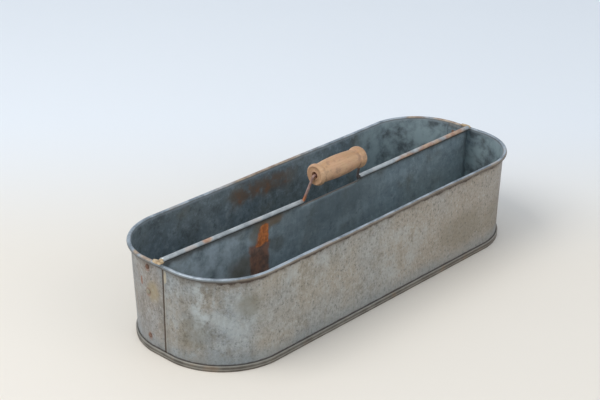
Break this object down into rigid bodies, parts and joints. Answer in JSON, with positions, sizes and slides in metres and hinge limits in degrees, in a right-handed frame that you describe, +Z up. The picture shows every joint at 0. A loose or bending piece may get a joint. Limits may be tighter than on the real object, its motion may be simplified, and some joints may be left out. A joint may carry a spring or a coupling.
{
  "type": "divided carrying trug",
  "caption": "Long oblong sheet-metal carrying pail with rounded ends, a riveted central divider and a wire handle with a turned wooden grip that swings in the divider's rolled hem.",
  "frame": {"origin": "on the floor, at the middle of the box round the whole part", "axes": "+X along the length from the end with the wall's lap seam to the far end, +Z up, -Y towards the side that the handle leans to"},
  "size_m": [0.6056, 0.2182, 0.1809],
  "materials": {
    "galvanised_sheet": "hot-dip galvanised sheet, weathered to a dull mottled blue-grey with warm grey-brown film and small rust specks",
    "divider_sheet": "galvanised sheet weathered dark blue-grey, with orange and brown rust where water has run",
    "steel_wire": "plain round steel wire under a thin pinkish-brown rust",
    "rivet_steel": "tinned steel rivet, dull and rusting round its edge",
    "turned_wood": "bare turned hardwood, pale tan, dry and slightly open in the grain, darker in the grooves"
  },
  "bodies": {
    "pail": {"wall": "galvanised_sheet", "base": "galvanised_sheet", "divider": "divider_sheet", "rim_wire": "steel_wire", "near_rivet_lower": "rivet_steel", "near_rivet_middle": "rivet_steel", "near_rivet_upper": "rivet_steel", "far_rivet_lower": "rivet_steel", "far_rivet_middle": "rivet_steel", "far_rivet_upper": "rivet_steel"},
    "handle": {"handle_wire": "steel_wire"},
    "grip": {"handle_grip": "turned_wood"}
  },
  "joints": [
    {"name": "handle_swing", "type": "hinge", "parent": "pail", "child": "handle", "pos_m": [0, -0.003, 0.129], "axis": [1, 0, 0], "range_deg": [-145, 135]},
    {"name": "grip_spin", "type": "hinge", "parent": "handle", "child": "grip", "pos_m": [0, -0.01434, 0.16611], "axis": [1, 0, 0], "continuous": true}
  ]
}
